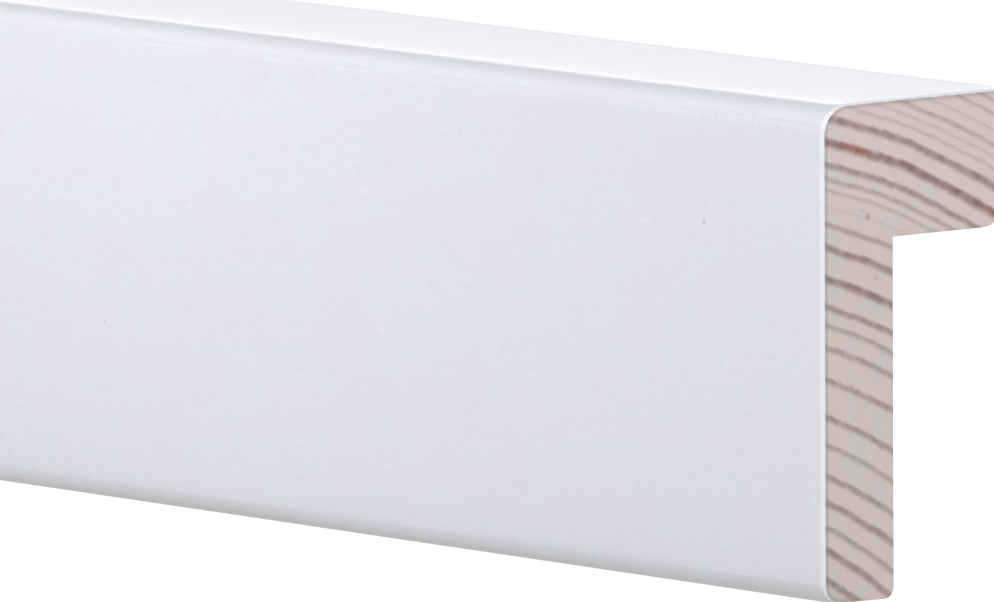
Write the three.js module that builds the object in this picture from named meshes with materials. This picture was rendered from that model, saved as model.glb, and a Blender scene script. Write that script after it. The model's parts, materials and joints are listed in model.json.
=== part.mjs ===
// Edge moulding: one length of painted pine with an L-shaped section, cut square at both ends.
// The long leg covers the edge of a board, and the short, thick leg lies on top of it.
//
// Millimetres. X runs along the moulding, the painted front looks towards -Y, and +Z is up.
// The origin is the middle of the long leg's back face, which is the face that is fixed to the board.

import * as THREE from 'three';

// Driving dimensions of the stick.
const LENGTH = 120;
const HEIGHT = 43;
const DEPTH = 21;
const LONG_LEG_THICKNESS = 7.9;
const TOP_LEG_THICKNESS = 11.9;

// Rounded corners of the section. The inside corner of the rebate and the cut ends are sharp.
const TOP_FRONT_RADIUS = 2.7;
const TOP_BACK_RADIUS = 0.5;
const LIP_RADIUS = 3;
const FOOT_FRONT_RADIUS = 1.7;
const FOOT_BACK_RADIUS = 1;
const SEGMENTS_PER_QUARTER = 12;

// Finish: white satin paint over pine.
const PAINT_COLOUR = 0xe6e8f0;
const PAINT_ROUGHNESS = 0.45;

// Planes of the section, measured from the origin.
const FRONT = -LONG_LEG_THICKNESS;
const TOP_BACK = DEPTH - LONG_LEG_THICKNESS;
const REBATE_HEIGHT = HEIGHT - TOP_LEG_THICKNESS;
const REBATE_CEILING = REBATE_HEIGHT / 2;
const FOOT = -REBATE_HEIGHT / 2;
const TOP = FOOT + HEIGHT;

const QUARTER = Math.PI / 2;

// Adds a quarter round to the outline, starting at the given angle and turning clockwise where asked.
function addQuarterRound(outline, centreY, centreZ, radius, startAngle, clockwise) {
  const endAngle = startAngle + (clockwise ? -QUARTER : QUARTER);
  outline.absarc(centreY, centreZ, radius, startAngle, endAngle, clockwise);
}

// The L-shaped section, drawn anticlockwise with the shape's x as row Y and its y as row Z.
function sectionOutline() {
  const outline = new THREE.Shape();
  outline.moveTo(0, REBATE_CEILING);
  outline.lineTo(0, FOOT + FOOT_BACK_RADIUS);
  addQuarterRound(outline, -FOOT_BACK_RADIUS, FOOT + FOOT_BACK_RADIUS, FOOT_BACK_RADIUS, 0, true);
  outline.lineTo(FRONT + FOOT_FRONT_RADIUS, FOOT);
  addQuarterRound(
    outline, FRONT + FOOT_FRONT_RADIUS, FOOT + FOOT_FRONT_RADIUS, FOOT_FRONT_RADIUS, -QUARTER, true,
  );
  outline.lineTo(FRONT, TOP - TOP_FRONT_RADIUS);
  addQuarterRound(
    outline, FRONT + TOP_FRONT_RADIUS, TOP - TOP_FRONT_RADIUS, TOP_FRONT_RADIUS, 2 * QUARTER, true,
  );
  outline.lineTo(TOP_BACK - TOP_BACK_RADIUS, TOP);
  addQuarterRound(
    outline, TOP_BACK - TOP_BACK_RADIUS, TOP - TOP_BACK_RADIUS, TOP_BACK_RADIUS, QUARTER, true,
  );
  outline.lineTo(TOP_BACK, REBATE_CEILING + LIP_RADIUS);
  addQuarterRound(outline, TOP_BACK - LIP_RADIUS, REBATE_CEILING + LIP_RADIUS, LIP_RADIUS, 0, true);
  outline.closePath();
  return outline;
}

// The whole moulding: the section drawn along X, centred on the origin.
function mouldingGeometry() {
  const geometry = new THREE.ExtrudeGeometry(sectionOutline(), {
    depth: LENGTH,
    steps: 1,
    bevelEnabled: false,
    curveSegments: SEGMENTS_PER_QUARTER / 2,
  });
  const alongY = new THREE.Vector3(0, 1, 0);
  const alongZ = new THREE.Vector3(0, 0, 1);
  const alongX = new THREE.Vector3(1, 0, 0);
  geometry.applyMatrix4(new THREE.Matrix4().makeBasis(alongY, alongZ, alongX));
  geometry.translate(-LENGTH / 2, 0, 0);
  return geometry;
}

const paintedPine = new THREE.MeshStandardMaterial({
  color: PAINT_COLOUR,
  roughness: PAINT_ROUGHNESS,
  metalness: 0,
});

const moulding = new THREE.Mesh(mouldingGeometry(), paintedPine);
moulding.name = 'edge_moulding';

const part = new THREE.Group();
part.add(moulding);

export default part;
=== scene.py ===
"""The looks of a painted pine edge moulding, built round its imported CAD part.

One length of moulding with an L-shaped section: white satin paint outside, a saw-cut pine end on
each side, and planed bare pine in the rebate. Metres, in the part's own frame: X runs along the
moulding, the painted front looks towards -Y, and Z is up. The materials measure in millimetres.
"""

import json
import math

import bmesh
import bpy
from mathutils import Color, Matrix, Quaternion, Vector, noise


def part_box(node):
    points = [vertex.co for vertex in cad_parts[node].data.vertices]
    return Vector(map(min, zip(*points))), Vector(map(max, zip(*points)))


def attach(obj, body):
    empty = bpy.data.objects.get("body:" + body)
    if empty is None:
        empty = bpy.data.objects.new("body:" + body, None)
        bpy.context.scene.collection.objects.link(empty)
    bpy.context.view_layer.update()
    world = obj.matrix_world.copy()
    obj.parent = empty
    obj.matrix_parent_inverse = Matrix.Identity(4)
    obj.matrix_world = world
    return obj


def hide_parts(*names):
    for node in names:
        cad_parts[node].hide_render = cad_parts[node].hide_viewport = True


bl_info = {
    "name": "Edge moulding",
    "version": (1, 0, 0),
    "blender": (4, 5, 0),
    "location": "3D View > Sidebar > Moulding",
    "description": "Builds a length of painted pine edge moulding and a pale studio for it",
    "category": "Add Mesh",
}

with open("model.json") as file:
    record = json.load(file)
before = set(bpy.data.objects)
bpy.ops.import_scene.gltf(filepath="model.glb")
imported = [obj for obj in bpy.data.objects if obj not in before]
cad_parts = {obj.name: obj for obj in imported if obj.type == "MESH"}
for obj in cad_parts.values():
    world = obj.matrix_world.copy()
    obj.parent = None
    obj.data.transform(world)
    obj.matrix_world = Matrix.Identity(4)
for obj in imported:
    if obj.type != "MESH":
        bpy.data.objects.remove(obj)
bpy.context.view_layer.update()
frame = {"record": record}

MM = 0.001
TO_MM = 1000
CAD_NODE = "edge_moulding"
MOULDING = "painted_moulding"
PAINT_DEPTH = "paint_depth"

# Planes of the section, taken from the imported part.
low_corner, high_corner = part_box(CAD_NODE)
mount_places = {mount["name"]: Vector(mount["pos_m"]) for mount in frame["record"]["mounts"]}
LEFT_END, FRONT, FOOT = low_corner
RIGHT_END, LIP, TOP = high_corner
LEG_BACK = mount_places["leg_back"].y
REBATE_CEILING = mount_places["rebate_ceiling"].z

# The pith, which is the tree's centre, lies outside the stick, below it and in front of it.
PITH_Y = -25.4 * MM
PITH_Z = -47.5 * MM

# Resin has gathered along a streak at this depth behind the front.
RESIN_STREAK = 3.7 * MM

# Growth rings from the pith outwards: width in millimetres, darkness of the latewood, reddish resin in it.
# The first width is the way from the pith to the first ring in the stick.
RINGS = (
    (38.5, 0.70, 0.1),
    (2.2, 0.75, 0.2),
    (1.8, 0.55, 0.0),
    (2.0, 0.70, 0.2),
    (2.1, 0.60, 0.1),
    (2.4, 0.50, 0.0),
    (2.3, 0.65, 0.2),
    (3.1, 0.60, 0.1),
    (2.6, 0.60, 0.1),
    (1.8, 0.50, 0.0),
    (1.5, 0.65, 0.1),
    (2.3, 0.85, 0.35),
    (2.6, 0.75, 0.5),
    (1.9, 0.52, 0.2),
    (1.5, 0.12, 0.0),
    (1.4, 0.30, 0.0),
    (0.9, 0.45, 0.1),
    (1.2, 0.66, 0.2),
    (1.9, 0.95, 1.0),
    (2.0, 0.78, 0.2),
    (1.3, 0.28, 0.0),
    (0.9, 0.20, 0.0),
    (0.9, 0.42, 0.1),
    (1.1, 0.20, 0.0),
    (1.3, 0.35, 0.1),
    (1.1, 0.35, 0.1),
    (1.2, 0.40, 0.0),
)

# How the rings stray from true circles: features to the millimetre, and shift in millimetres.
RING_WAVES = (
    (0.22, 0.50),
    (0.90, 0.12),
)

# Dust specks in the paint of the front: place along the moulding, height and radius in millimetres, and
# darkness.
FRONT_SPECKS = (
    (44.35, 16.1, 0.22, 0.42),
    (45.7, 25.5, 0.28, 0.12),
    (50.7, 25.5, 0.25, 0.08),
    (51.6, 25.1, 0.20, 0.10),
    (54.1, 25.2, 0.22, 0.08),
    (-37.4, 0.3, 0.20, 0.22),
)

# Stretches of a faint sanding line in the top round: start and end along the moulding in millimetres, and
# depth as a share of the deepest.
SANDING_LINES = (
    (-32.7, -21.9, 1.0),
    (-17.6, -8.4, 0.9),
    (-7.2, 0.1, 0.9),
    (6.6, 12.6, 0.8),
    (15.5, 29.7, 0.4),
    (33.0, 59.0, 0.6),
)

# The middle of that line, how far it sways and its width, in degrees round from the top.
GROOVE_MIDDLE = 73
GROOVE_SWAY = 3
GROOVE_WIDTH = 3.5

# The flat that has been planed on the foot's round: its middle, half its width and how far that sways, in
# degrees round from the front, and how much of the full flat has come off.
FLAT_MIDDLE = 20
FLAT_HALF_WIDTH = 20
FLAT_SWAY = 4
FLAT_SHARE = 0.6

# Waves to the metre in the unevenness of the sides, along the moulding and across it.
UNEVEN_ALONG = 40
UNEVEN_ACROSS = 160

# Steps of the mesh: the longest and the fewest round a corner of the section, and those round a worn edge.
ROUND_STEP = 0.09 * MM
FEWEST_ROUND_STEPS = 6
ARRIS_STEPS = 3

# How near two points have to be to count as one, when a corner is looked up and when a face is cut.
SAME_CORNER = 0.01 * MM
SAME_CUT = 0.001 * MM

# The least X of a face's normal on the flat of a cut end, and on sawn wood with its worn edge.
FLAT_END = 0.99
SAWN_END = 0.9

# A point less deep than the skin gets a painted side's relief, unless a cut end is within the margin.
SIDE_SKIN = 0.02 * MM
END_MARGIN = 0.2 * MM

# A face that lies less deep than this, in millimetres, is painted.
PAINTED_TO = 0.04

# The lip's back counts as a painted side down to this far below the rebate's ceiling.
LIP_MARGIN = 1 * MM

# Edges that turn by more than this stay sharp.
SHARP_TURN = math.radians(50)

# Dark dots in the end grain: depth behind the front, height and radius in millimetres, and darkness.
END_DOTS = (
    (5.0, 17.5, 0.28, 0.45),
    (5.9, 12.2, 0.30, 0.22),
    (4.4, 18.1, 0.20, 0.20),
)

# The paint's red, green and blue as shares of its colour: at the two ends of their drift from place to
# place, in its fine dashes and on its few raised nibs.
LAVENDER_DRIFT = (1.005, 0.99, 1.0)
BLUISH_DRIFT = (0.995, 1.01, 1.004)
DASH_SHADE = (0.968, 0.968, 0.968)
NIB_SHADE = (1.03, 1.03, 1.03)

# Painted highlight where light catches the worn edge at each cut: where it begins and where it is full, from
# the cut.
HIGHLIGHT_START = 0.5 * MM
HIGHLIGHT_FULL = 0.3 * MM

WHITE = (1, 1, 1, 1)

# The gap between the foot and the floor, and the number of the floor's sides.
FLOOR_GAP = 0.2 * MM
FLOOR_SIDES = 96

# Where the camera aims: to the left of the near end's front edge and above its middle, in the picture.
AIM_LEFT = 27.82 * MM
AIM_UP = 4.765 * MM
SENSOR_WIDTH = 36
NEAREST_SEEN = 0.01
FARTHEST_SEEN = 100

# A screen colour's channel at its brightest.
SCREEN_FULL = 255

# The Mix node's sockets for colours and for numbers: its factor, its two values and its result.
MIX_SOCKETS = {"RGBA": (0, 6, 7, 2), "FLOAT": (0, 2, 3, 0)}


def tone(red, green, blue):
    """A screen colour of 0 to 255 a channel as the linear colour that shaders use."""
    screen = Color([channel / SCREEN_FULL for channel in (red, green, blue)])
    return *screen.from_srgb_to_scene_linear(), 1.0


# What the settings of one kind have in common.
LENGTH = {"min": 0, "unit": "LENGTH", "precision": 6}
COLOUR = {"size": 4, "min": 0, "max": 1, "subtype": "COLOR"}


class MouldingSizes(bpy.types.PropertyGroup):
    """Corner radii, wear and fineness of the moulding's mesh."""

    top_front_radius: bpy.props.FloatProperty(
        name="Top front radius", description="Round between the front and the top",
        default=2.7 * MM, **LENGTH,
    )
    top_back_radius: bpy.props.FloatProperty(
        name="Top back radius", description="Eased edge between the top and the lip's back",
        default=0.5 * MM, **LENGTH,
    )
    lip_radius: bpy.props.FloatProperty(
        name="Lip radius", description="Round under the lip, next to the rebate",
        default=3 * MM, **LENGTH,
    )
    foot_front_radius: bpy.props.FloatProperty(
        name="Foot front radius", description="Round between the front and the foot",
        default=1.7 * MM, **LENGTH,
    )
    foot_back_radius: bpy.props.FloatProperty(
        name="Foot back radius", description="Round between the foot and the rebate",
        default=1 * MM, **LENGTH,
    )
    arris: bpy.props.FloatProperty(
        name="Arris", description="Width of the worn edge round each cut end",
        default=0.35 * MM, **LENGTH,
    )
    bare_arris: bpy.props.FloatProperty(
        name="Bare arris", description="The same worn edge where no paint covers the wood, as a share of it",
        default=0.2, min=0, max=1, subtype="FACTOR",
    )
    rim: bpy.props.FloatProperty(
        name="Rim", description="Width of the band on each cut end that holds the paint's edge",
        default=0.2 * MM, **LENGTH,
    )
    mesh_step: bpy.props.FloatProperty(
        name="Mesh step", description="Distance between points on the flat sides",
        default=0.7 * MM, min=0.1 * MM, unit="LENGTH",
    )
    shoulder: bpy.props.FloatProperty(
        name="Shoulder", description="How far the top has sunk where its round begins",
        default=0.077 * MM, **LENGTH,
    )
    shoulder_reach: bpy.props.FloatProperty(
        name="Shoulder reach", description="How far back from its round the top begins to sink",
        default=4 * MM, min=0.1 * MM, unit="LENGTH",
    )
    shoulder_crest: bpy.props.FloatProperty(
        name="Shoulder crest", description="How far round the corner it has sunk deepest",
        default=0.8 * MM, min=0.1 * MM, unit="LENGTH",
    )
    groove_depth: bpy.props.FloatProperty(
        name="Groove depth", description="Depth of the sanding line low in the top round",
        default=0.1 * MM, **LENGTH,
    )
    unevenness: bpy.props.FloatProperty(
        name="Unevenness", description="How far the painted sides dip below the true section",
        default=0.03 * MM, **LENGTH,
    )


class PaintFinish(bpy.types.PropertyGroup):
    """White satin paint."""

    colour: bpy.props.FloatVectorProperty(
        name="Paint", description="Colour of the paint",
        default=(0.82, 0.83, 0.918, 1), **COLOUR,
    )
    # The paint seen edge on at each cut, lightened as a painted highlight; it also paints the highlight along
    # each worn edge.
    cut_paint_and_highlight: bpy.props.FloatVectorProperty(
        name="Cut paint", description="Colour of the paint where the saw has cut it",
        default=(0.93, 0.93, 0.95, 1), **COLOUR,
    )
    speck: bpy.props.FloatVectorProperty(
        name="Specks", description="Colour of the dust specks in the paint",
        default=tone(120, 140, 150), **COLOUR,
    )
    # The foot's colour is partly thin paint and partly painted shade near the floor.
    foot: bpy.props.FloatVectorProperty(
        name="Foot", description="Colour of the thin paint at the foot",
        default=(0.785, 0.775, 0.775, 1), **COLOUR,
    )
    roughness: bpy.props.FloatProperty(
        name="Roughness", description="Satin sheen of the paint", default=0.28, min=0, max=1,
        subtype="FACTOR",
    )
    thickness: bpy.props.FloatProperty(
        name="Thickness", description="Thickness of the paint film", default=0.2 * MM, **LENGTH,
    )
    fade: bpy.props.FloatProperty(
        name="Fade", description="How far the paint reaches back under the foot",
        default=3.3 * MM, **LENGTH,
    )


class PineFinish(bpy.types.PropertyGroup):
    """Bare pine, sawn at the ends and planed in the rebate."""

    end_pink: bpy.props.FloatVectorProperty(
        name="End grain, pinkish", description="Pinkish tone of the sawn end",
        default=tone(212, 193, 190), **COLOUR,
    )
    end_beige: bpy.props.FloatVectorProperty(
        name="End grain, beige", description="Beige tone of the sawn end",
        default=tone(211, 198, 188), **COLOUR,
    )
    end_grey: bpy.props.FloatVectorProperty(
        name="End grain, grey", description="Greyish tone of the sawn end",
        default=tone(200, 198, 196), **COLOUR,
    )
    sapwood: bpy.props.FloatVectorProperty(
        name="Sapwood", description="Paler wood of the outer rings",
        default=tone(221, 203, 200), **COLOUR,
    )
    latewood: bpy.props.FloatVectorProperty(
        name="Latewood", description="Dark lines of the growth rings",
        default=tone(131, 111, 106), **COLOUR,
    )
    greyed: bpy.props.FloatVectorProperty(
        name="Greyed wood", description="Fibres next to the paint film",
        default=tone(120, 126, 132), **COLOUR,
    )
    resin: bpy.props.FloatVectorProperty(
        name="Resin", description="Reddish resin in the growth rings",
        default=tone(152, 92, 84), **COLOUR,
    )
    planed_early: bpy.props.FloatVectorProperty(
        name="Planed earlywood", description="Pale wood of the planed faces",
        default=tone(226, 210, 190), **COLOUR,
    )
    planed_late: bpy.props.FloatVectorProperty(
        name="Planed latewood", description="Dark streaks of the planed faces",
        default=tone(187, 152, 122), **COLOUR,
    )
    roughness: bpy.props.FloatProperty(
        name="Roughness", description="Dullness of the bare wood", default=0.8, min=0, max=1,
        subtype="FACTOR",
    )


class StudioSetup(bpy.types.PropertyGroup):
    """Pale floor, strips of light and the camera."""

    floor_radius: bpy.props.FloatProperty(
        name="Floor radius", description="Radius of the floor", default=6.0, min=0.5, unit="LENGTH",
    )
    backdrop: bpy.props.FloatProperty(
        name="Backdrop", description="Brightness of the screen that stands low behind the moulding",
        default=2.7, min=0,
    )
    far_backdrop: bpy.props.FloatProperty(
        name="Far backdrop", description="Brightness of the strip just above the horizon behind it",
        default=2.35, min=0,
    )
    front_screen: bpy.props.FloatProperty(
        name="Front screen", description="Brightness of the screen that hangs high in front of it",
        default=1.35, min=0,
    )
    bounce: bpy.props.FloatProperty(
        name="Floor bounce", description="Brightness that the floor gives to the moulding",
        default=0.75, min=0,
    )
    sight_azimuth: bpy.props.FloatProperty(
        name="Sight azimuth", description="Where the camera stands, turned from straight in front",
        default=math.radians(49.3), subtype="ANGLE",
    )
    sight_elevation: bpy.props.FloatProperty(
        name="Sight elevation", description="How far above the moulding's level the camera stands",
        default=math.radians(6.885), subtype="ANGLE",
    )
    sight_distance: bpy.props.FloatProperty(
        name="Sight distance", description="From the camera to the front edge of the near end",
        default=2068 * MM, min=0.1, unit="LENGTH",
    )
    sight_roll: bpy.props.FloatProperty(
        name="Sight roll", description="How far the camera leans to its left",
        default=math.radians(-0.27), subtype="ANGLE",
    )
    lens: bpy.props.FloatProperty(
        name="Lens", description="Focal length, for a sensor 36 mm wide", default=878.7, min=1,
        unit="CAMERA",
    )


class Recipe:
    """Adds nodes to a node tree and joins them. A plain value goes straight onto its socket."""

    def __init__(self, tree):
        self.tree = tree

    def join(self, value, socket):
        if isinstance(value, bpy.types.NodeSocket):
            self.tree.links.new(value, socket)
        else:
            socket.default_value = value

    def node(self, kind, inputs=None, **settings):
        node = self.tree.nodes.new(kind)
        for name, value in settings.items():
            setattr(node, name, value)
        for name, value in (inputs or {}).items():
            self.join(value, node.inputs[name])
        return node

    def math(self, operation, *values):
        node = self.tree.nodes.new("ShaderNodeMath")
        node.operation = operation
        for value, socket in zip(values, node.inputs):
            self.join(value, socket)
        return node.outputs[0]

    def ramp(self, value, start, end, first=0.0, last=1.0):
        """Goes smoothly from first to last while value goes from start to end."""
        node = self.node(
            "ShaderNodeMapRange",
            {"Value": value, "From Min": start, "From Max": end, "To Min": first, "To Max": last},
            interpolation_type="SMOOTHSTEP",
        )
        return node.outputs[0]

    def fall(self, value, start, end, first=1.0):
        """Goes smoothly from first down to zero while value goes from start to end."""
        return self.ramp(value, start, end, first, 0.0)

    def mix(self, factor, first, second, kind="RGBA"):
        """A colour between first and second, or a number where the kind is FLOAT."""
        node = self.node("ShaderNodeMix", data_type=kind)
        *places, result = MIX_SOCKETS[kind]
        for value, place in zip((factor, first, second), places):
            self.join(value, node.inputs[place])
        return node.outputs[result]

    def blend(self, factor, first, second):
        """A number between first and second."""
        return self.mix(factor, first, second, kind="FLOAT")

    def scaled(self, vector, x, y, z):
        node = self.node("ShaderNodeVectorMath", {0: vector, 1: (x, y, z)}, operation="MULTIPLY")
        return node.outputs[0]

    def distance(self, first, second):
        node = self.node("ShaderNodeVectorMath", {0: first, 1: second}, operation="DISTANCE")
        return node.outputs["Value"]

    def noise(self, vector, scale, detail=2.0, roughness=0.5, stretch=None):
        """Soft noise of 0 to 1, with about scale features to the millimetre.

        Stretch multiplies each axis first, so that a share below 1 draws the noise out along it.
        """
        if stretch:
            vector = self.scaled(vector, *stretch)
        node = self.node(
            "ShaderNodeTexNoise",
            {"Vector": vector, "Scale": scale, "Detail": detail, "Roughness": roughness},
        )
        return node.outputs[0]

    def swing(self, *pattern, **settings):
        """The same noise, but swinging about zero."""
        middle = 0.5
        return self.math("SUBTRACT", self.noise(*pattern, **settings), middle)

    def bump(self, height, strength, distance):
        """The normal of a surface with that relief."""
        node = self.node("ShaderNodeBump", {"Height": height, "Strength": strength, "Distance": distance})
        return node.outputs[0]

    def group(self, tree, inputs):
        return self.node("ShaderNodeGroup", inputs, node_tree=tree)

    def millimetres(self):
        """The place on the piece, in millimetres."""
        place = self.node("ShaderNodeTexCoord").outputs["Object"]
        return self.scaled(place, TO_MM, TO_MM, TO_MM)


def new_group(name, inputs, outputs):
    """A new node group with its sockets: gives its recipe, its inputs by name and its output node."""
    tree = bpy.data.node_groups.new(name, "ShaderNodeTree")
    kinds = {"number": "NodeSocketFloat", "vector": "NodeSocketVector"}
    for label, kind in inputs:
        tree.interface.new_socket(label, in_out="INPUT", socket_type=kinds[kind])
    for label, kind in outputs:
        tree.interface.new_socket(label, in_out="OUTPUT", socket_type=kinds[kind])
    recipe = Recipe(tree)
    given = tree.nodes.new("NodeGroupInput").outputs
    result = tree.nodes.new("NodeGroupOutput")
    return recipe, given, result


def growth_ring_group():
    """One growth ring: a line that darkens slowly from inside and ends sharply outside."""
    recipe, given, result = new_group(
        "Growth ring",
        [
            ("Radius", "number"), ("Ring", "number"), ("Darkness", "number"), ("Resin", "number"),
            ("Line so far", "number"), ("Resin so far", "number"),
        ],
        [("Line", "number"), ("Resin", "number")],
    )
    # The width of a faint line, in millimetres, and what full darkness adds to it.
    faint_width = 0.14
    added_width = 0.62
    offset = recipe.math("SUBTRACT", given["Radius"], given["Ring"])
    width = recipe.math("MULTIPLY_ADD", given["Darkness"], added_width, faint_width)
    share = recipe.math("DIVIDE", offset, width)
    rise = recipe.ramp(share, start=-1.05, end=-0.1)
    fall = recipe.fall(share, start=0.15, end=0.75)
    shape = recipe.math("MULTIPLY", rise, fall)
    line = recipe.math("MULTIPLY", shape, given["Darkness"])
    resin = recipe.math("MULTIPLY", shape, given["Resin"])
    recipe.join(recipe.math("MAXIMUM", line, given["Line so far"]), result.inputs["Line"])
    recipe.join(recipe.math("MAXIMUM", resin, given["Resin so far"]), result.inputs["Resin"])
    return recipe.tree


def solid_pine_group(growth_ring):
    """Growth rings through the whole stick, so that its ends and its planed faces agree."""
    recipe, given, result = new_group(
        "Solid pine",
        [("Place", "vector"), ("Wander", "number")],
        [("Line", "number"), ("Resin", "number"), ("Radius", "number")],
    )
    place = recipe.node("ShaderNodeSeparateXYZ", {0: given["Place"]}).outputs
    across = recipe.math("SUBTRACT", place["Y"], PITH_Y * TO_MM)
    upwards = recipe.math("SUBTRACT", place["Z"], PITH_Z * TO_MM)
    squares = recipe.math("MULTIPLY_ADD", across, across, recipe.math("MULTIPLY", upwards, upwards))
    radius = recipe.math("SQRT", squares)
    # The stick isn't quite parallel to the trunk, and the trunk isn't quite straight.
    lean = 0.006
    drawn_out = 0.04
    from_near_end = recipe.math("SUBTRACT", place["X"], RIGHT_END * TO_MM)
    radius = recipe.math("MULTIPLY_ADD", from_near_end, lean, radius)
    along_fibre = recipe.scaled(given["Place"], drawn_out, 1, 1)
    for scale, shift in RING_WAVES:
        wave = recipe.swing(along_fibre, scale, detail=1)
        radius = recipe.math("MULTIPLY_ADD", wave, recipe.math("MULTIPLY", given["Wander"], shift), radius)
    # The saw has torn the lines into fine upright teeth, more in some places than in others.
    teeth = recipe.swing(given["Place"], scale=2.4, detail=1, stretch=(drawn_out, 1, 0.12))
    torn = recipe.noise(along_fibre, scale=0.12, detail=1)
    torn = recipe.ramp(torn, start=0.45, end=0.6, first=0.06, last=0.3)
    torn = recipe.math("MULTIPLY", teeth, torn)
    radius = recipe.math("MULTIPLY_ADD", torn, given["Wander"], radius)
    # Resin stains stretches of a ring, most of all in a streak just behind the painted front.
    behind_front = recipe.math("SUBTRACT", place["Y"], (FRONT + RESIN_STREAK) * TO_MM)
    streak = recipe.fall(recipe.math("ABSOLUTE", behind_front), start=0.6, end=2.4, first=0.9)
    stretches = recipe.noise(along_fibre, scale=0.3, detail=1)
    stretches = recipe.ramp(stretches, start=0.38, end=0.6, first=0.25, last=0.5)
    stain = recipe.math("MAXIMUM", streak, stretches)
    line = 0.0
    resin = 0.0
    ring_radius = 0.0
    for width, darkness, stained in RINGS:
        ring_radius += width
        ring = recipe.group(growth_ring, {
            "Radius": radius, "Ring": ring_radius, "Darkness": darkness, "Resin": stained,
            "Line so far": line, "Resin so far": resin,
        })
        line = ring.outputs["Line"]
        resin = ring.outputs["Resin"]
    # A line is a little stronger here and weaker there.
    strength = recipe.noise(along_fibre, scale=0.8)
    strength = recipe.ramp(strength, start=0.25, end=0.75, first=0.78, last=1.12)
    recipe.join(recipe.math("MULTIPLY", line, strength), result.inputs["Line"])
    recipe.join(recipe.math("MULTIPLY", resin, stain), result.inputs["Resin"])
    recipe.join(radius, result.inputs["Radius"])
    return recipe.tree


def paint_cover_group():
    """Where the paint film covers the wood: as deep as the film is thick, with a ragged edge."""
    recipe, given, result = new_group(
        "Paint cover",
        [("Place", "vector"), ("Depth", "number"), ("Thickness", "number"), ("Ragged", "number")],
        [("Cover", "number")],
    )
    blur = 0.025
    coarse = recipe.swing(given["Place"], scale=0.9, detail=3, roughness=0.6)
    depth = recipe.math("MULTIPLY_ADD", coarse, given["Ragged"], given["Depth"])
    past_film = recipe.math("SUBTRACT", depth, given["Thickness"])
    cover = recipe.fall(past_film, start=-blur, end=blur)
    recipe.join(cover, result.inputs["Cover"])
    return recipe.tree


def paint_skin_group():
    """The paint's surface: its relief, its drift of tone, its fine dashes and its few raised nibs."""
    recipe, given, result = new_group(
        "Paint skin", [("Place", "vector")],
        [("Height", "number"), ("Tone", "number"), ("Dashes", "number"), ("Nibs", "number")],
    )
    place = given["Place"]
    # The relief is pebble, short ridges and long waves, whose heights are shares of the pebble's.
    ridge_height = 0.5
    wave_height = 1.5
    pebble = recipe.noise(place, scale=2.2, detail=3, roughness=0.6)
    ridges = recipe.ramp(recipe.noise(place, scale=1.6, stretch=(0.25, 1, 1)), start=0.55, end=0.75)
    waves = recipe.noise(place, scale=0.12, stretch=(0.5, 1, 1))
    height = recipe.math("MULTIPLY_ADD", ridges, ridge_height, pebble)
    height = recipe.math("MULTIPLY_ADD", waves, wave_height, height)
    recipe.join(height, result.inputs["Height"])
    half = 0.5
    patches = recipe.noise(place, scale=0.25, detail=3, roughness=0.6, stretch=(0.6, 1, 1))
    drift = recipe.ramp(recipe.blend(half, patches, waves), start=0.38, end=0.62)
    recipe.join(drift, result.inputs["Tone"])
    dashes = recipe.noise(place, scale=4.0, stretch=(0.3, 1, 1))
    recipe.join(recipe.ramp(dashes, start=0.5, end=0.72), result.inputs["Dashes"])
    nibs = recipe.noise(place, scale=1.5, detail=1, stretch=(0.3, 1, 1))
    recipe.join(recipe.ramp(nibs, start=0.7, end=0.78), result.inputs["Nibs"])
    return recipe.tree


def clear_tree(owner):
    """Empties the node tree of a material or a world, and gives a recipe for it."""
    owner.use_nodes = True
    owner.node_tree.nodes.clear()
    return Recipe(owner.node_tree)


def new_material(name):
    """A material with one Principled BSDF, its recipe, and the shader."""
    material = bpy.data.materials.new(name)
    recipe = clear_tree(material)
    shader = recipe.node("ShaderNodeBsdfPrincipled")
    recipe.node("ShaderNodeOutputMaterial", {"Surface": shader.outputs[0]})
    return material, recipe, shader


def shaded(colour, shares):
    """The colour with its red, green and blue multiplied by the shares."""
    return [channel * share for channel, share in zip(colour, shares)] + [1]


def paint_colour(recipe, finish, skin):
    """A lavender white that drifts to a bluish one, with darker dashes and lighter nibs."""
    lavender = shaded(finish.colour, LAVENDER_DRIFT)
    bluish = shaded(finish.colour, BLUISH_DRIFT)
    colour = recipe.mix(skin.outputs["Tone"], lavender, bluish)
    colour = recipe.mix(skin.outputs["Dashes"], colour, shaded(finish.colour, DASH_SHADE))
    return recipe.mix(skin.outputs["Nibs"], colour, shaded(finish.colour, NIB_SHADE))


def spots(recipe, place, marks, core, reach):
    """Small round marks: as dark as each is to its core and gone at its reach, as shares of its radius."""
    dark = 0.0
    for *centre, radius, darkness in marks:
        distance = recipe.distance(place, centre)
        spot = recipe.fall(distance, core * radius, reach * radius, darkness)
        dark = recipe.math("MAXIMUM", dark, spot)
    return dark


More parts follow.
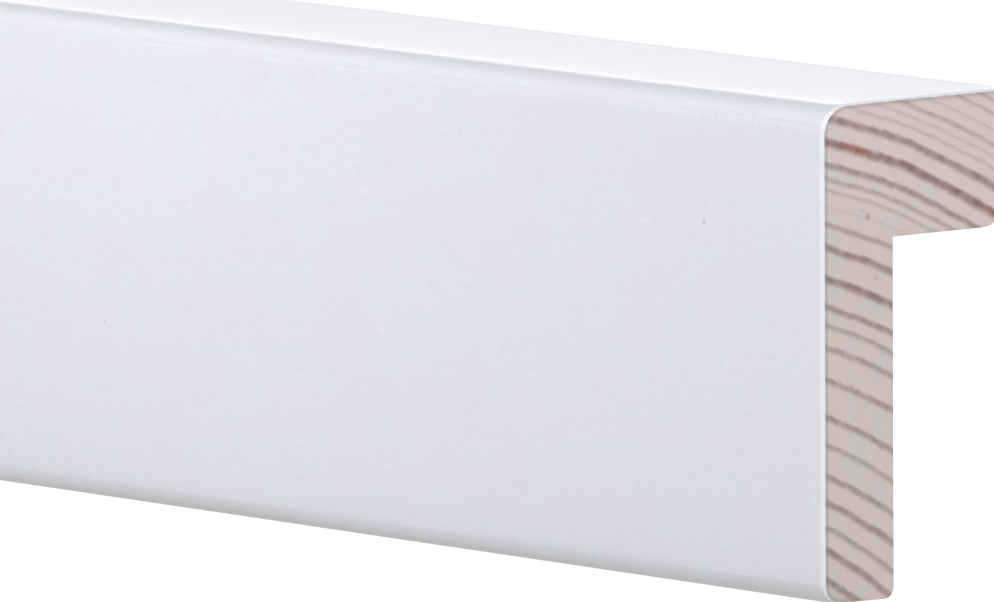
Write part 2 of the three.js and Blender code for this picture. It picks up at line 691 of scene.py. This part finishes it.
def white_satin_paint(finish, skin_group):
    """Paint on the front, the top, the lip and the foot."""
    material, recipe, shader = new_material("white_satin_paint")
    place = recipe.millimetres()
    parts = recipe.node("ShaderNodeSeparateXYZ", {0: place}).outputs
    skin = recipe.group(skin_group, {"Place": place})
    colour = paint_colour(recipe, finish, skin)
    # Painted highlight: the paint turns lighter along each cut, where light catches the worn edge.
    along = recipe.math("ABSOLUTE", parts["X"])
    edge_highlight = recipe.ramp(along, (RIGHT_END - HIGHLIGHT_START) * TO_MM, (RIGHT_END - HIGHLIGHT_FULL) * TO_MM)
    colour = recipe.mix(edge_highlight, colour, finish.cut_paint_and_highlight)
    # It is greyer and a little darker low on the foot, up to an edge that wanders by less than a millimetre:
    # partly thin paint, partly painted shade where the foot turns down to the floor.
    wander = 0.8
    above_foot = recipe.math("SUBTRACT", parts["Z"], FOOT * TO_MM)
    uneven = recipe.math("MULTIPLY_ADD", skin.outputs["Tone"], wander, above_foot)
    thin_and_shaded = recipe.fall(uneven, start=0.6, end=2.0, first=0.9)
    colour = recipe.mix(thin_and_shaded, colour, finish.foot)
    specks = [(x, FRONT * TO_MM, z, radius, darkness) for x, z, radius, darkness in FRONT_SPECKS]
    dirt = spots(recipe, place, specks, core=0.2, reach=1.5)
    recipe.join(recipe.mix(dirt, colour, finish.speck), shader.inputs["Base Color"])
    recipe.join(finish.roughness, shader.inputs["Roughness"])
    normal = recipe.bump(skin.outputs["Height"], strength=0.12, distance=0.02 * MM)
    recipe.join(normal, shader.inputs["Normal"])
    return material


def sawn_end_grain(paint, pine, groups):
    """The two cut ends: growth rings, saw marks, and the paint film seen edge on."""
    material, recipe, shader = new_material("sawn_end_grain")
    place = recipe.millimetres()
    depth = recipe.node("ShaderNodeAttribute", attribute_name=PAINT_DEPTH).outputs["Fac"]
    rings = recipe.group(groups["pine"], {"Place": place, "Wander": 1.0})
    beige = recipe.noise(place, scale=0.35, detail=3, roughness=0.6, stretch=(1, 1, 0.7))
    wood = recipe.mix(recipe.ramp(beige, start=0.35, end=0.65), pine.end_pink, pine.end_beige)
    grey = recipe.noise(place, scale=0.45, detail=3, roughness=0.6, stretch=(1, -0.8, 1))
    wood = recipe.mix(recipe.ramp(grey, start=0.46, end=0.66, last=0.8), wood, pine.end_grey)
    # The outer rings are paler.
    outer = recipe.ramp(rings.outputs["Radius"], start=64, end=78, last=0.6)
    wood = recipe.mix(outer, wood, pine.sapwood)
    grain = recipe.noise(place, scale=5.0, detail=3, roughness=0.7)
    wood = recipe.mix(recipe.fall(grain, start=0.3, end=0.7, first=0.12), wood, pine.latewood)
    latewood = recipe.mix(rings.outputs["Resin"], pine.latewood, pine.resin)
    wood = recipe.mix(rings.outputs["Line"], wood, latewood)
    dots = [
        (RIGHT_END * TO_MM, FRONT * TO_MM + depth_in, z, radius, darkness)
        for depth_in, z, radius, darkness in END_DOTS
    ]
    wood = recipe.mix(spots(recipe, place, dots, core=0.5, reach=1.4), wood, pine.latewood)
    # The fibres next to the paint are greyed by it.
    film = paint.thickness * TO_MM
    greyed = recipe.fall(depth, start=film + 0.1, end=film + 0.5, first=0.38)
    wood = recipe.mix(greyed, wood, pine.greyed)
    # The paint film seen edge on takes the cut paint's colour, lighter than the paint: partly a painted
    # highlight.
    cover = recipe.group(groups["cover"], {
        "Place": place, "Depth": depth, "Thickness": film, "Ragged": 0.08,
    }).outputs["Cover"]
    recipe.join(recipe.mix(cover, wood, paint.cut_paint_and_highlight), shader.inputs["Base Color"])
    recipe.join(recipe.blend(cover, pine.roughness, paint.roughness), shader.inputs["Roughness"])
    # The relief is upright saw marks, grain and ring lines, whose heights are shares of the marks'.
    grain_height = 0.6
    line_height = 0.8
    saw = recipe.noise(place, scale=2.6, stretch=(1, 1, 0.06))
    height = recipe.math("MULTIPLY_ADD", grain, grain_height, saw)
    height = recipe.math("MULTIPLY_ADD", rings.outputs["Line"], line_height, height)
    recipe.join(recipe.bump(height, strength=0.5, distance=0.03 * MM), shader.inputs["Normal"])
    return material


def planed_pine(paint, pine, groups):
    """Bare wood in the rebate and behind the foot: the same rings, cut lengthwise and planed."""
    material, recipe, shader = new_material("planed_pine")
    place = recipe.millimetres()
    rings = recipe.group(groups["pine"], {"Place": place, "Wander": 1.6})
    drift = recipe.noise(place, scale=0.3, stretch=(0.1, 1, 1))
    drift = recipe.ramp(drift, start=0.3, end=0.7, last=0.35)
    wood = recipe.mix(drift, pine.planed_early, pine.end_pink)
    fibres = recipe.noise(place, scale=4.0, detail=3, roughness=0.65, stretch=(0.05, 1, 1))
    wood = recipe.mix(recipe.fall(fibres, start=0.35, end=0.7, first=0.16), wood, pine.planed_late)
    resin_share = 0.5
    line_share = 0.9
    resin = recipe.math("MULTIPLY", rings.outputs["Resin"], resin_share)
    latewood = recipe.mix(resin, pine.planed_late, pine.resin)
    wood = recipe.mix(recipe.math("MULTIPLY", rings.outputs["Line"], line_share), wood, latewood)
    depth = recipe.node("ShaderNodeAttribute", attribute_name=PAINT_DEPTH).outputs["Fac"]
    cover = recipe.group(groups["cover"], {
        "Place": place, "Depth": depth, "Thickness": paint.thickness * TO_MM, "Ragged": 0.25,
    }).outputs["Cover"]
    recipe.join(recipe.mix(cover, wood, paint.colour), shader.inputs["Base Color"])
    recipe.join(recipe.blend(cover, pine.roughness, paint.roughness), shader.inputs["Roughness"])
    # The relief is fibres, the planer's waves and ring lines, whose heights are shares of the fibres'.
    planer_height = 0.35
    line_height = 0.5
    planer = recipe.node(
        "ShaderNodeTexWave", {"Vector": place, "Scale": 0.19, "Distortion": 0.4, "Detail": 1.0},
        bands_direction="X",
    ).outputs["Fac"]
    height = recipe.math("MULTIPLY_ADD", planer, planer_height, fibres)
    height = recipe.math("MULTIPLY_ADD", rings.outputs["Line"], line_height, height)
    recipe.join(recipe.bump(height, strength=0.4, distance=0.04 * MM), shader.inputs["Normal"])
    return material


def section_corners(sizes):
    """The six corners of the L-shaped section, in order round it: Y, Z and the radius of each."""
    return (
        (LEG_BACK, REBATE_CEILING, 0),
        (LIP, REBATE_CEILING, sizes.lip_radius),
        (LIP, TOP, sizes.top_back_radius),
        (FRONT, TOP, sizes.top_front_radius),
        (FRONT, FOOT, sizes.foot_front_radius),
        (LEG_BACK, FOOT, sizes.foot_back_radius),
    )


def round_corner(mesh, place, radius):
    """Rounds one corner of the flat section. The step round it suits its radius."""
    corner = next(vertex for vertex in mesh.verts if (vertex.co - place).length < SAME_CORNER)
    quarter = math.pi / 2 * radius
    segments = max(FEWEST_ROUND_STEPS, round(quarter / ROUND_STEP))
    bmesh.ops.bevel(
        mesh, geom=[corner], offset=radius, offset_type="OFFSET", segments=segments, profile=0.5,
        affect="VERTICES", material=-1, clamp_overlap=False,
    )


def draw_section(mesh, sizes):
    """The section as one flat face at the left end, its corners rounded and its long edges divided."""
    corners = section_corners(sizes)
    mesh.faces.new([mesh.verts.new((LEFT_END, y, z)) for y, z, radius in corners])
    for y, z, radius in corners:
        if radius > 0:
            round_corner(mesh, Vector((LEFT_END, y, z)), radius)
    for edge in list(mesh.edges):
        cuts = int(edge.calc_length() / sizes.mesh_step)
        if cuts > 0:
            bmesh.ops.subdivide_edges(mesh, edges=[edge], cuts=cuts)


def end_faces(mesh):
    """The faces that lie square across the moulding at its two ends."""
    return [face for face in mesh.faces if abs(face.normal.x) > FLAT_END]


def draw_out(mesh):
    """Draws the flat section along the whole length."""
    drawn = bmesh.ops.extrude_face_region(mesh, geom=list(mesh.faces))
    moved = [item for item in drawn["geom"] if isinstance(item, bmesh.types.BMVert)]
    bmesh.ops.translate(mesh, verts=moved, vec=(RIGHT_END - LEFT_END, 0, 0))
    bmesh.ops.recalc_face_normals(mesh, faces=list(mesh.faces))


def cut_ends(mesh, sizes):
    """Eases the edge round each cut end, and sets off the band that holds the paint's edge."""
    mesh.normal_update()
    edges = {edge for face in end_faces(mesh) for edge in face.edges}
    bmesh.ops.bevel(
        mesh, geom=list(edges), offset=sizes.arris, offset_type="OFFSET", segments=ARRIS_STEPS,
        profile=0.5, affect="EDGES", material=-1, clamp_overlap=False,
    )
    mesh.normal_update()
    bmesh.ops.inset_region(mesh, faces=end_faces(mesh), thickness=sizes.rim, use_even_offset=True)


def divide_ends(mesh, sizes):
    """Divides the wood of each cut end into small squares."""
    mesh.normal_update()
    for axis, start, end in ((1, FRONT, LIP), (2, FOOT, TOP)):
        normal = Vector((0, 0, 0))
        normal[axis] = 1
        for step in range(1, int((end - start) / sizes.mesh_step)):
            level = start + step * sizes.mesh_step
            cut = [
                face for face in end_faces(mesh)
                if min(v.co[axis] for v in face.verts) < level < max(v.co[axis] for v in face.verts)
            ]
            geometry = set(cut)
            for face in cut:
                geometry.update(face.edges)
                geometry.update(face.verts)
            bmesh.ops.bisect_plane(
                mesh, geom=list(geometry), dist=SAME_CUT, plane_co=normal * level, plane_no=normal,
            )


def divide_sides(mesh, sizes):
    """Divides the sides along the moulding."""
    span = RIGHT_END - LEFT_END
    lengthwise = [edge for edge in mesh.edges if edge.calc_length() > span / 2]
    cuts = int(span / sizes.mesh_step)
    bmesh.ops.subdivide_edges(mesh, edges=lengthwise, cuts=cuts, use_grid_fill=True)


def paint_depth(place, sizes, paint):
    """How deep a point of the wood lies under the painted sides. It grows where the paint fades out."""
    _, y, z = place
    from_front = y - FRONT
    from_top = TOP - z
    top_radius = sizes.top_front_radius
    if from_front < top_radius and from_top < top_radius:
        return top_radius - math.hypot(top_radius - from_front, top_radius - from_top)
    from_foot = z - FOOT
    foot_radius = sizes.foot_front_radius
    fade = max(0, (from_front - foot_radius) / (paint.fade - foot_radius)) * paint.thickness
    if from_front < foot_radius and from_foot < foot_radius:
        return foot_radius - math.hypot(foot_radius - from_front, foot_radius - from_foot)
    depths = [from_front, from_top, from_foot + fade]
    if z > REBATE_CEILING - LIP_MARGIN:
        depths.append(LIP - y)
    return max(0, min(depths))


def sway(x, pace, row):
    """A smooth swing about zero along the moulding, with pace waves to the metre. Each row is another."""
    return noise.noise(Vector((x * pace, 0, row)))


def sanding_line(x, angle, sizes):
    """Depth of the broken line that sanding has left in the top round. The angle is 0 at the top."""
    along = x * TO_MM
    strength = 0
    for start, end, share in SANDING_LINES:
        inside = min(along - start, end - along)
        strength = max(strength, share * max(0, min(1, inside)))
    middle = GROOVE_MIDDLE + GROOVE_SWAY * sway(x, pace=90, row=3)
    return sizes.groove_depth * strength * math.exp(-((angle - middle) / GROOVE_WIDTH) ** 2)


def foot_flat(x, angle, sizes):
    """How deep the planed flat cuts into the foot's round. The angle is 0 where the front begins."""
    fine_share = 0.5
    waves = sway(x, pace=70, row=11) + fine_share * sway(x, pace=260, row=5)
    half = FLAT_HALF_WIDTH + FLAT_SWAY * waves
    off_middle = angle - FLAT_MIDDLE
    if abs(off_middle) >= half:
        return 0
    radius = sizes.foot_front_radius
    flat = radius * (1 - math.cos(math.radians(half)) / math.cos(math.radians(off_middle)))
    return FLAT_SHARE * flat


def soften_shoulder(place, sizes):
    """Bends the top gently into its round: sinks a point near that corner, less the deeper it lies."""
    radius = sizes.top_front_radius
    centre = Vector((FRONT + radius, TOP - radius))
    out = Vector((place.y, place.z)) - centre
    if out.y <= 0:
        return
    if out.x < 0:
        round_it = math.atan2(-out.x, out.y) * radius
        inwards = -out.normalized()
        share = out.length / radius
        rise = sizes.shoulder_crest
        slope = 2 / sizes.shoulder_reach
        if round_it < rise:
            sink = sizes.shoulder * (1 + slope * (round_it - round_it * round_it / (2 * rise)))
        else:
            crest = sizes.shoulder * (1 + slope * rise / 2)
            span = math.pi / 2 * radius - rise
            sink = crest * (0.5 + 0.5 * math.cos(math.pi * (round_it - rise) / span))
    elif out.x < sizes.shoulder_reach:
        inwards = Vector((0, -1))
        share = out.y / radius
        sink = sizes.shoulder * (1 - out.x / sizes.shoulder_reach) ** 2
    else:
        return
    place.y += inwards.x * sink * share
    place.z += inwards.y * sink * share


def relief(place, sizes):
    """How far a point of a side sinks: slight unevenness, a sanding line above, and a flat at the foot."""
    x, y, z = place
    slow = Vector((x * UNEVEN_ALONG, y * UNEVEN_ACROSS, z * UNEVEN_ACROSS))
    sink = sizes.unevenness * (1 + noise.noise(slow)) / 2
    top_centre = Vector((FRONT + sizes.top_front_radius, TOP - sizes.top_front_radius))
    out = Vector((y, z)) - top_centre
    if out.x < 0 and out.y > 0:
        sink += sanding_line(x, math.degrees(math.atan2(-out.x, out.y)), sizes)
    foot_centre = Vector((FRONT + sizes.foot_front_radius, FOOT + sizes.foot_front_radius))
    out = Vector((y, z)) - foot_centre
    if out.x < 0 and out.y < 0:
        sink += foot_flat(x, math.degrees(math.atan2(-out.y, -out.x)), sizes)
    return sink


def wear_sides(mesh, sizes, paint):
    """Notes each point's depth under the paint, narrows the bare arrises and gives the sides their relief."""
    depth_layer = mesh.verts.layers.float.new(PAINT_DEPTH)
    # The mesh holds rounded numbers, so a worn edge is looked for slightly past its width.
    rounding = 1.01
    mesh.normal_update()
    for vertex in mesh.verts:
        depth = paint_depth(vertex.co, sizes, paint)
        vertex[depth_layer] = depth * TO_MM
        # Bare edges are worn less than painted ones.
        from_end = RIGHT_END - abs(vertex.co.x)
        bare = max(0, min(1, depth / sizes.arris - 1)) * (1 - sizes.bare_arris)
        if 0 < from_end < rounding * sizes.arris:
            vertex.co.x += math.copysign(from_end * bare, vertex.co.x)
        on_end = min(vertex.co.x - LEFT_END, RIGHT_END - vertex.co.x) < END_MARGIN
        if depth < SIDE_SKIN and not on_end:
            vertex.co -= vertex.normal * relief(vertex.co, sizes)
        soften_shoulder(vertex.co, sizes)


def dress_faces(mesh):
    """Gives each face its material: 0 is paint, 1 a sawn end and 2 planed pine."""
    depth_layer = mesh.verts.layers.float[PAINT_DEPTH]
    mesh.normal_update()
    for face in mesh.faces:
        depth = sum(vertex[depth_layer] for vertex in face.verts) / len(face.verts)
        if abs(face.normal.x) > SAWN_END:
            face.material_index = 1
        elif depth < PAINTED_TO:
            face.material_index = 0
        else:
            face.material_index = 2
        face.smooth = True
    for edge in mesh.edges:
        edge.smooth = len(edge.link_faces) == 2 and edge.calc_face_angle() < SHARP_TURN


def place_object(scene, name, mesh, materials):
    """Makes the finished mesh an object of the scene, with its materials in order."""
    data = bpy.data.meshes.new(name)
    mesh.to_mesh(data)
    mesh.free()
    for material in materials:
        data.materials.append(material)
    piece = bpy.data.objects.new(name, data)
    scene.collection.objects.link(piece)
    return piece


class BuildMoulding(bpy.types.Operator):
    """Build the painted moulding round its CAD solid"""

    bl_idname = "edge_moulding.build_moulding"
    bl_label = "Build the moulding"

    def execute(self, context):
        sizes = context.scene.moulding_sizes
        paint = context.scene.moulding_paint
        pine = context.scene.moulding_pine
        mesh = bmesh.new()
        draw_section(mesh, sizes)
        draw_out(mesh)
        cut_ends(mesh, sizes)
        divide_ends(mesh, sizes)
        divide_sides(mesh, sizes)
        wear_sides(mesh, sizes, paint)
        dress_faces(mesh)
        groups = {
            "pine": solid_pine_group(growth_ring_group()),
            "cover": paint_cover_group(),
        }
        materials = (
            white_satin_paint(paint, paint_skin_group()),
            sawn_end_grain(paint, pine, groups),
            planed_pine(paint, pine, groups),
        )
        piece = place_object(context.scene, MOULDING, mesh, materials)
        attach(piece, "root")
        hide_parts(CAD_NODE)
        return {"FINISHED"}


def studio_floor(setup):
    """A white floor: it shows pale to the camera, gives a steady bounce, and is clear from below.

    Next to the moulding it bounces less light, because the moulding keeps light off it.
    """
    whiteness = 0.8
    glow_strength = 0.75
    shade_reach = 8.0
    shaded_share = 0.8
    material = bpy.data.materials.new("studio_floor")
    recipe = clear_tree(material)
    camera_ray = recipe.node("ShaderNodeLightPath").outputs["Is Camera Ray"]
    underneath = recipe.node("ShaderNodeNewGeometry").outputs["Backfacing"]
    white = recipe.node("ShaderNodeBsdfDiffuse", {"Color": (whiteness, whiteness, whiteness, 1)}).outputs[0]
    glow = recipe.node("ShaderNodeEmission", {"Color": WHITE, "Strength": glow_strength}).outputs[0]
    shown = recipe.node("ShaderNodeAddShader", {0: white, 1: glow}).outputs[0]
    place = recipe.node("ShaderNodeSeparateXYZ", {0: recipe.millimetres()}).outputs
    from_front = recipe.math("ABSOLUTE", recipe.math("SUBTRACT", place["Y"], FRONT * TO_MM))
    given_back = recipe.ramp(from_front, 0.0, shade_reach, shaded_share * setup.bounce, setup.bounce)
    bounce = recipe.node("ShaderNodeEmission", {"Color": WHITE, "Strength": given_back}).outputs[0]
    above = recipe.node("ShaderNodeMixShader", {0: camera_ray, 1: bounce, 2: shown}).outputs[0]
    clear = recipe.node("ShaderNodeBsdfTransparent").outputs[0]
    surface = recipe.node("ShaderNodeMixShader", {0: underneath, 1: above, 2: clear}).outputs[0]
    recipe.node("ShaderNodeOutputMaterial", {"Surface": surface})
    return material


def lay_floor(scene, setup):
    """A round floor just under the foot."""
    mesh = bmesh.new()
    bmesh.ops.create_circle(mesh, cap_ends=True, segments=FLOOR_SIDES, radius=setup.floor_radius)
    bmesh.ops.translate(mesh, verts=mesh.verts, vec=(0, 0, FOOT - FLOOR_GAP))
    floor = place_object(scene, "studio_floor", mesh, [studio_floor(setup)])


def strip_of_light(recipe, height, low, high, side, strength):
    """A level strip of light between two heights of the sky, over the half of it that side tells."""
    edge = 0.02
    above = recipe.ramp(height, low - edge, low + edge)
    below = recipe.fall(height, high - edge, high + edge)
    strip = recipe.math("MULTIPLY", above, below)
    return recipe.math("MULTIPLY", recipe.math("MULTIPLY", strip, side), strength)


def hang_backdrop(scene, setup):
    """Screens of light behind and in front of the moulding, dark between them, and white to the camera."""
    world = bpy.data.worlds.new("studio_surroundings")
    recipe = clear_tree(world)
    direction = recipe.node("ShaderNodeTexCoord").outputs["Generated"]
    parts = recipe.node("ShaderNodeSeparateXYZ", {0: direction}).outputs
    overlap = 0.25
    behind = recipe.ramp(parts["Y"], -overlap, overlap)
    in_front = recipe.math("SUBTRACT", 1.0, behind)
    # Strips of light: the height of each one's lower and upper edge, its side and its brightness.
    strips = (
        (0.22, 0.42, behind, setup.backdrop),
        (0.10, 0.16, behind, setup.far_backdrop),
        (0.50, 0.62, in_front, setup.front_screen),
    )
    light = 0.0
    for strip in strips:
        light = recipe.math("ADD", light, strip_of_light(recipe, parts["Z"], *strip))
    camera_ray = recipe.node("ShaderNodeLightPath").outputs["Is Camera Ray"]
    strength = recipe.blend(camera_ray, light, 1.0)
    surroundings = recipe.node("ShaderNodeBackground", {"Color": WHITE, "Strength": strength})
    recipe.node("ShaderNodeOutputWorld", {"Surface": surroundings.outputs[0]})
    scene.world = world


# Soft square lights: azimuth and elevation in degrees as seen from the moulding, distance and side in
# metres, strength as the brightness of the light's own surface, and whether gloss mirrors it.
LIGHTS = {
    "end_light": (65, 15, 0.4, 0.2, 3.0, True),
    "key": (45, 60, 0.5, 0.3, 3.6, True),
    "overhead": (0, 60, 0.25, 0.15, 0.5, False),
    "left_glow": (-45, 15, 0.2, 0.08, 1.0, False),
    "near_left_glow": (-25, 30, 0.15, 0.08, 2.6, False),
}


def towards(azimuth, elevation):
    """The direction of a thing seen at that azimuth, turned from straight in front, and elevation."""
    level = math.cos(elevation)
    return Vector((math.sin(azimuth) * level, -math.cos(azimuth) * level, math.sin(elevation)))


def hang_light(scene, name, azimuth, elevation, distance, side, strength, glossy):
    """One soft square light, aimed at the origin."""
    data = bpy.data.lights.new(name, "AREA")
    data.shape = "SQUARE"
    data.size = side
    data.energy = strength * math.pi * side * side
    light = bpy.data.objects.new(name, data)
    place = towards(math.radians(azimuth), math.radians(elevation)) * distance
    light.location = place
    light.rotation_euler = (-place).to_track_quat("-Z", "Y").to_euler()
    light.visible_glossy = glossy
    scene.collection.objects.link(light)


def place_camera(scene, setup):
    """The camera, aimed so that the front edge of the near end falls where the photo has it."""
    back = towards(setup.sight_azimuth, setup.sight_elevation)
    right = Vector((math.cos(setup.sight_azimuth), math.sin(setup.sight_azimuth), 0))
    up = back.cross(right)
    near_edge = Vector((RIGHT_END, FRONT, (FOOT + TOP) / 2))
    aim = near_edge - right * AIM_LEFT + up * AIM_UP
    data = bpy.data.cameras.new("studio_camera")
    data.sensor_width = SENSOR_WIDTH
    data.lens = setup.lens
    data.clip_start = NEAREST_SEEN
    data.clip_end = FARTHEST_SEEN
    camera = bpy.data.objects.new("studio_camera", data)
    camera.location = near_edge + back * setup.sight_distance
    level = (aim - camera.location).to_track_quat("-Z", "Y")
    tilt = Quaternion((0, 0, 1), setup.sight_roll)
    camera.rotation_euler = (level @ tilt).to_euler()
    scene.collection.objects.link(camera)
    scene.camera = camera


class BuildStage(bpy.types.Operator):
    """Build the pale studio: floor, surroundings, lights and camera"""

    bl_idname = "edge_moulding.build_stage"
    bl_label = "Build the studio"

    def execute(self, context):
        scene = context.scene
        setup = scene.moulding_studio
        lay_floor(scene, setup)
        hang_backdrop(scene, setup)
        for name, light in LIGHTS.items():
            hang_light(scene, name, *light)
        place_camera(scene, setup)
        scene.view_settings.view_transform = "Standard"
        scene.view_settings.look = "None"
        return {"FINISHED"}


class MouldingPanel(bpy.types.Panel):
    """Sizes, colours and build buttons"""

    bl_idname = "VIEW3D_PT_edge_moulding"
    bl_label = "Edge moulding"
    bl_space_type = "VIEW_3D"
    bl_region_type = "UI"
    bl_category = "Moulding"

    def draw(self, context):
        layout = self.layout
        for operator in OPERATORS:
            layout.operator(operator.bl_idname)
        for name, group in SETTINGS.items():
            box = layout.box()
            for field in group.__annotations__:
                box.prop(getattr(context.scene, name), field)


OPERATORS = (BuildMoulding, BuildStage)
SETTINGS = {
    "moulding_sizes": MouldingSizes,
    "moulding_paint": PaintFinish,
    "moulding_pine": PineFinish,
    "moulding_studio": StudioSetup,
}


def register():
    for name, group in SETTINGS.items():
        bpy.utils.register_class(group)
        setattr(bpy.types.Scene, name, bpy.props.PointerProperty(type=group))
    for item in (*OPERATORS, MouldingPanel):
        bpy.utils.register_class(item)


def unregister():
    for item in (MouldingPanel, *reversed(OPERATORS)):
        bpy.utils.unregister_class(item)
    for name, group in reversed(SETTINGS.items()):
        delattr(bpy.types.Scene, name)
        bpy.utils.unregister_class(group)


def main():
    register()
    bpy.ops.edge_moulding.build_moulding()
    bpy.ops.edge_moulding.build_stage()


if __name__ == "__main__":
    main()
